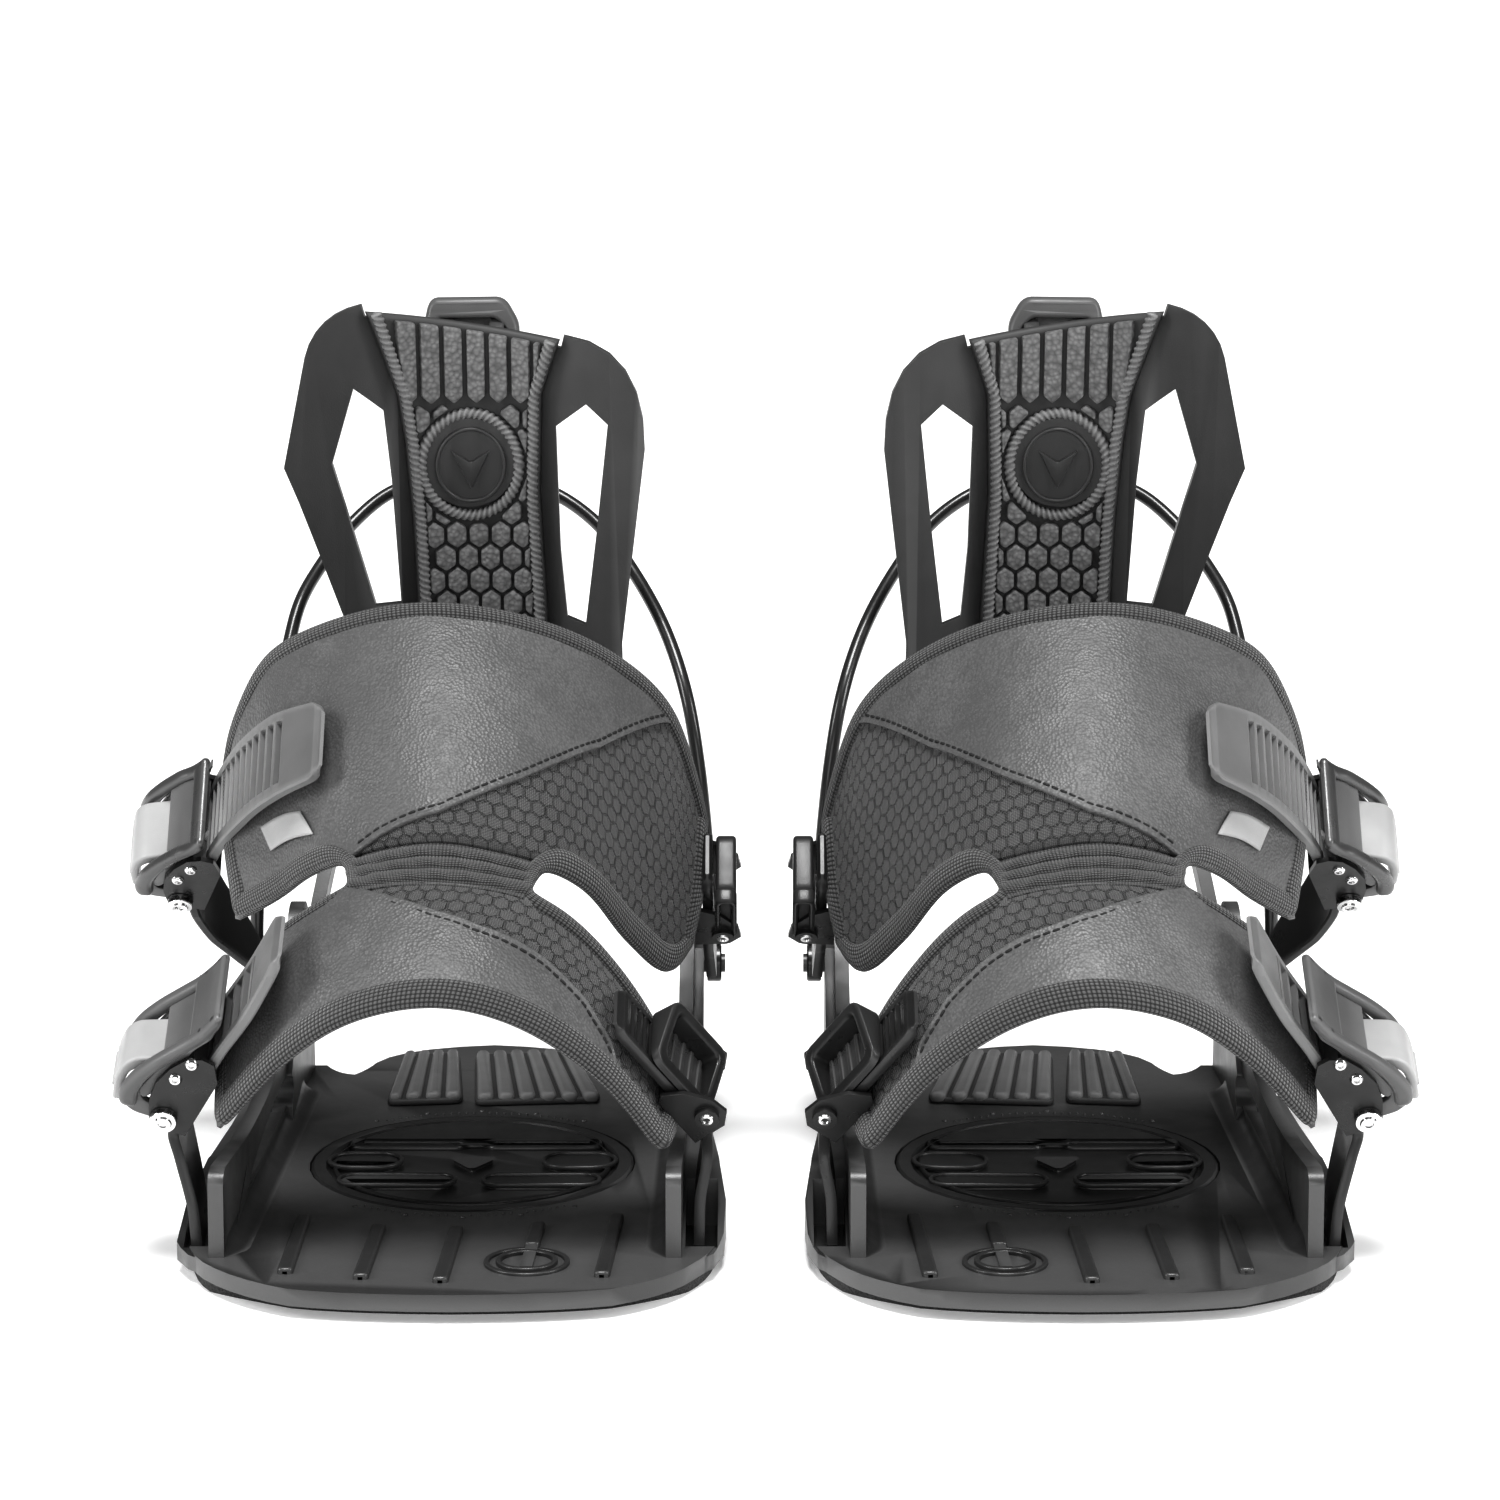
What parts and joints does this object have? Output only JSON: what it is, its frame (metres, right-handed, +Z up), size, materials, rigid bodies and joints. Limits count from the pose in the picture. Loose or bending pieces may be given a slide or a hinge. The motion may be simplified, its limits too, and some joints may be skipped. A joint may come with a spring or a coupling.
{
  "type": "snowboard bindings",
  "caption": "Pair of rear-entry snowboard bindings with reclining highbacks, padded toe and ankle straps, ratchet buckles and turning discs.",
  "frame": {"origin": "middle of the underside of the pair's bounding box", "axes": "+X from the wearer's right binding to the left one, +Y from toe to heel, +Z up"},
  "size_m": [0.3988, 0.2956, 0.262],
  "materials": {
    "nylon": "glass-filled nylon, satin",
    "foam": "matt closed-cell foam",
    "grip": "moulded soft rubber, matt",
    "lever": "moulded, satin",
    "trigger": "moulded, satin",
    "cable": "black sheath over steel wire rope",
    "leather": "grained synthetic leather",
    "webbing": "woven polyester",
    "strap_plastic": "flexible moulded strap",
    "steel": "black powder coat",
    "chrome": "polished"
  },
  "bodies": {
    "bases": {"right_base_pad": "foam", "right_baseplate": "nylon", "right_heel_pad_outer": "grip", "right_heel_pad_inner": "grip", "right_toe_strap": "leather", "right_ankle_strap": "leather", "right_strap_bridge": "webbing", "right_toe_ladder": "strap_plastic", "right_ankle_ladder": "strap_plastic", "right_toe_adjust_ladder": "strap_plastic", "right_ankle_adjust_ladder": "strap_plastic", "right_toe_ratchet_frame": "steel", "right_toe_ratchet_axle": "chrome", "right_toe_slap_frame": "steel", "right_ankle_ratchet_frame": "steel", "right_ankle_ratchet_axle": "chrome", "right_ankle_slap_frame": "steel", "left_base_pad": "foam", "left_baseplate": "nylon", "left_heel_pad_outer": "grip", "left_heel_pad_inner": "grip", "left_toe_strap": "leather", "left_ankle_strap": "leather", "left_strap_bridge": "webbing", "left_toe_ladder": "strap_plastic", "left_ankle_ladder": "strap_plastic", "left_toe_adjust_ladder": "strap_plastic", "left_ankle_adjust_ladder": "strap_plastic", "left_toe_ratchet_frame": "steel", "left_toe_ratchet_axle": "chrome", "left_toe_slap_frame": "steel", "left_ankle_ratchet_frame": "steel", "left_ankle_ratchet_axle": "chrome", "left_ankle_slap_frame": "steel"},
    "right_highback": {"right_highback": "nylon", "right_highback_pad": "grip", "right_highback_badge": "nylon", "right_latch_block": "nylon"},
    "right_disc": {"right_disc": "nylon"},
    "right_cable": {"right_cable": "cable"},
    "right_latch_lever": {"right_latch_lever": "lever"},
    "right_toe_ratchet_lever": {"right_toe_ratchet_lever": "lever"},
    "right_toe_ratchet_trigger": {"right_toe_ratchet_trigger": "trigger"},
    "right_toe_slap_lever": {"right_toe_slap_lever": "nylon"},
    "right_ankle_ratchet_lever": {"right_ankle_ratchet_lever": "lever"},
    "right_ankle_ratchet_trigger": {"right_ankle_ratchet_trigger": "trigger"},
    "right_ankle_slap_lever": {"right_ankle_slap_lever": "nylon"},
    "left_highback": {"left_highback": "nylon", "left_highback_pad": "grip", "left_highback_badge": "nylon", "left_latch_block": "nylon"},
    "left_disc": {"left_disc": "nylon"},
    "left_cable": {"left_cable": "cable"},
    "left_latch_lever": {"left_latch_lever": "lever"},
    "left_toe_ratchet_lever": {"left_toe_ratchet_lever": "lever"},
    "left_toe_ratchet_trigger": {"left_toe_ratchet_trigger": "trigger"},
    "left_toe_slap_lever": {"left_toe_slap_lever": "nylon"},
    "left_ankle_ratchet_lever": {"left_ankle_ratchet_lever": "lever"},
    "left_ankle_ratchet_trigger": {"left_ankle_ratchet_trigger": "trigger"},
    "left_ankle_slap_lever": {"left_ankle_slap_lever": "nylon"}
  },
  "joints": [
    {"name": "right_highback_recline", "type": "hinge", "parent": "bases", "child": "right_highback", "pos_m": [-0.0901, 0.06975, 0.058], "axis": [-1, 0, 0], "range_deg": [0, 75]},
    {"name": "right_cable_swing", "type": "hinge", "parent": "bases", "child": "right_cable", "pos_m": [-0.0901, 0.06575, 0.05], "axis": [-1, 0, 0], "range_deg": [0, 72]},
    {"name": "right_latch_turn", "type": "hinge", "parent": "right_highback", "child": "right_latch_lever", "pos_m": [-0.0966, 0.12875, 0.208], "axis": [-1, 0, 0], "range_deg": [0, 60]},
    {"name": "right_disc_turn", "type": "hinge", "parent": "bases", "child": "right_disc", "pos_m": [-0.0901, -0.02025, 0.006], "axis": [0, 0, 1], "range_deg": [-36, 36]},
    {"name": "right_toe_ratchet_turn", "type": "hinge", "parent": "bases", "child": "right_toe_ratchet_lever", "pos_m": [-0.1753, -0.08625, 0.0535], "axis": [0, -0.8988, -0.4384], "range_deg": [0, 70]},
    {"name": "right_toe_trigger_turn", "type": "hinge", "parent": "bases", "child": "right_toe_ratchet_trigger", "pos_m": [-0.16747, -0.09262, 0.06655], "axis": [0, -0.8988, -0.4384], "range_deg": [0, 3], "stiffness_Nm_per_rad": 0.05, "springref_deg": -8.59},
    {"name": "right_toe_slap_turn", "type": "hinge", "parent": "bases", "child": "right_toe_slap_lever", "pos_m": [-0.0172, -0.08605, 0.0526], "axis": [0, 0.8988, 0.4384], "range_deg": [0, 48]},
    {"name": "right_ankle_ratchet_turn", "type": "hinge", "parent": "bases", "child": "right_ankle_ratchet_lever", "pos_m": [-0.1838, 0.03775, 0.0923], "axis": [0, -0.6947, -0.7193], "range_deg": [0, 70]},
    {"name": "right_ankle_trigger_turn", "type": "hinge", "parent": "bases", "child": "right_ankle_ratchet_trigger", "pos_m": [-0.17861, 0.02648, 0.10318], "axis": [0, -0.6947, -0.7193], "range_deg": [0, 3], "stiffness_Nm_per_rad": 0.05, "springref_deg": -8.59},
    {"name": "right_ankle_slap_turn", "type": "hinge", "parent": "bases", "child": "right_ankle_slap_lever", "pos_m": [-0.0131, 0.03375, 0.08], "axis": [0, 0.6947, 0.7193], "range_deg": [0, 25]},
    {"name": "left_highback_recline", "type": "hinge", "parent": "bases", "child": "left_highback", "pos_m": [0.0901, 0.06975, 0.058], "axis": [-1, 0, 0], "range_deg": [0, 75]},
    {"name": "left_cable_swing", "type": "hinge", "parent": "bases", "child": "left_cable", "pos_m": [0.0901, 0.06575, 0.05], "axis": [-1, 0, 0], "range_deg": [0, 72]},
    {"name": "left_latch_turn", "type": "hinge", "parent": "left_highback", "child": "left_latch_lever", "pos_m": [0.0966, 0.12875, 0.208], "axis": [-1, 0, 0], "range_deg": [0, 60]},
    {"name": "left_disc_turn", "type": "hinge", "parent": "bases", "child": "left_disc", "pos_m": [0.0901, -0.02025, 0.006], "axis": [0, 0, 1], "range_deg": [-36, 36]},
    {"name": "left_toe_ratchet_turn", "type": "hinge", "parent": "bases", "child": "left_toe_ratchet_lever", "pos_m": [0.1753, -0.08625, 0.0535], "axis": [0, 0.8988, 0.4384], "range_deg": [0, 70]},
    {"name": "left_toe_trigger_turn", "type": "hinge", "parent": "bases", "child": "left_toe_ratchet_trigger", "pos_m": [0.16747, -0.09262, 0.06655], "axis": [0, 0.8988, 0.4384], "range_deg": [0, 3], "stiffness_Nm_per_rad": 0.05, "springref_deg": -8.59},
    {"name": "left_toe_slap_turn", "type": "hinge", "parent": "bases", "child": "left_toe_slap_lever", "pos_m": [0.0172, -0.08605, 0.0526], "axis": [0, -0.8988, -0.4384], "range_deg": [0, 48]},
    {"name": "left_ankle_ratchet_turn", "type": "hinge", "parent": "bases", "child": "left_ankle_ratchet_lever", "pos_m": [0.1838, 0.03775, 0.0923], "axis": [0, 0.6947, 0.7193], "range_deg": [0, 70]},
    {"name": "left_ankle_trigger_turn", "type": "hinge", "parent": "bases", "child": "left_ankle_ratchet_trigger", "pos_m": [0.17861, 0.02648, 0.10318], "axis": [0, 0.6947, 0.7193], "range_deg": [0, 3], "stiffness_Nm_per_rad": 0.05, "springref_deg": -8.59},
    {"name": "left_ankle_slap_turn", "type": "hinge", "parent": "bases", "child": "left_ankle_slap_lever", "pos_m": [0.0131, 0.03375, 0.08], "axis": [0, -0.6947, -0.7193], "range_deg": [0, 25]}
  ],
  "couplings": [
    {"joint": "right_cable_swing", "follows": "right_highback_recline", "ratio": 0.95},
    {"joint": "left_cable_swing", "follows": "left_highback_recline", "ratio": 0.95}
  ]
}
